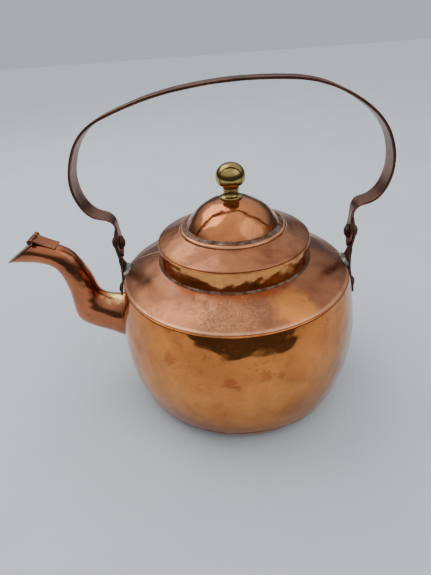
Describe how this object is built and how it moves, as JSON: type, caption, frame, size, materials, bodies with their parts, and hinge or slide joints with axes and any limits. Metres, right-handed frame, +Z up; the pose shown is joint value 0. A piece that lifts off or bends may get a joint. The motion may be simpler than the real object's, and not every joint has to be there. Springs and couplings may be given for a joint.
{
  "type": "stovetop kettle",
  "caption": "Hand-made copper stovetop kettle with a round belly, lift-off domed lid with a brass knob, swan-neck spout closed by a hinged flap, and a swinging strap handle.",
  "frame": {"origin": "middle of the flat base, on the kettle's axis, on the surface it stands on", "axes": "+Z up along the body's axis; the spout points along -X; +Y completes the right-handed frame, so the handle swings about X"},
  "size_m": [0.3344, 0.2184, 0.2771],
  "materials": {
    "polished_copper": "polished, patinated",
    "worn_copper": "satin, worn",
    "spout_copper": "polished, patinated",
    "handle_copper": "satin, dark patina",
    "lid_dome_copper": "polished, patinated",
    "dark_copper": "matte, dark patina",
    "tinned_copper": "satin, tinned",
    "braze_brass": "satin",
    "tin_solder": "matte, oxidised",
    "knob_brass": "polished, aged"
  },
  "bodies": {
    "kettle": {"body_wall": "polished_copper", "base_pan": "polished_copper", "shoulder": "worn_copper", "shoulder_seam": "braze_brass", "neck_collar": "polished_copper", "neck_solder": "tin_solder", "spout": "spout_copper", "spout_flange": "worn_copper", "hinge_leaf": "dark_copper", "hinge_pin": "dark_copper", "front_ear": "dark_copper", "rear_ear": "dark_copper", "front_ear_rivet": "dark_copper", "rear_ear_rivet": "dark_copper", "front_ear_solder": "tin_solder", "rear_ear_solder": "tin_solder", "front_pivot_rivet": "dark_copper", "rear_pivot_rivet": "dark_copper", "front_pivot_washer": "dark_copper", "rear_pivot_washer": "dark_copper"},
    "handle": {"handle_strap": "handle_copper"},
    "lid": {"lid_plate": "worn_copper", "lid_flange": "tinned_copper", "lid_bead": "worn_copper", "lid_dome": "lid_dome_copper", "dome_solder": "tin_solder", "knob": "knob_brass", "knob_washer": "tin_solder", "knob_nut": "knob_brass"},
    "flap": {"spout_flap": "dark_copper"}
  },
  "joints": [
    {"name": "handle_swing", "type": "hinge", "parent": "kettle", "child": "handle", "pos_m": [0, 0, 0.1523], "axis": [1, 0, 0], "range_deg": [-105, 105]},
    {"name": "lid_lift", "type": "slide", "parent": "kettle", "child": "lid", "axis": [0, 0, 1], "range_m": [0, 0.045]},
    {"name": "flap_hinge", "type": "hinge", "parent": "kettle", "child": "flap", "pos_m": [-0.1774, 0, 0.1603], "axis": [0, 1, 0], "range_deg": [0, 110]}
  ]
}
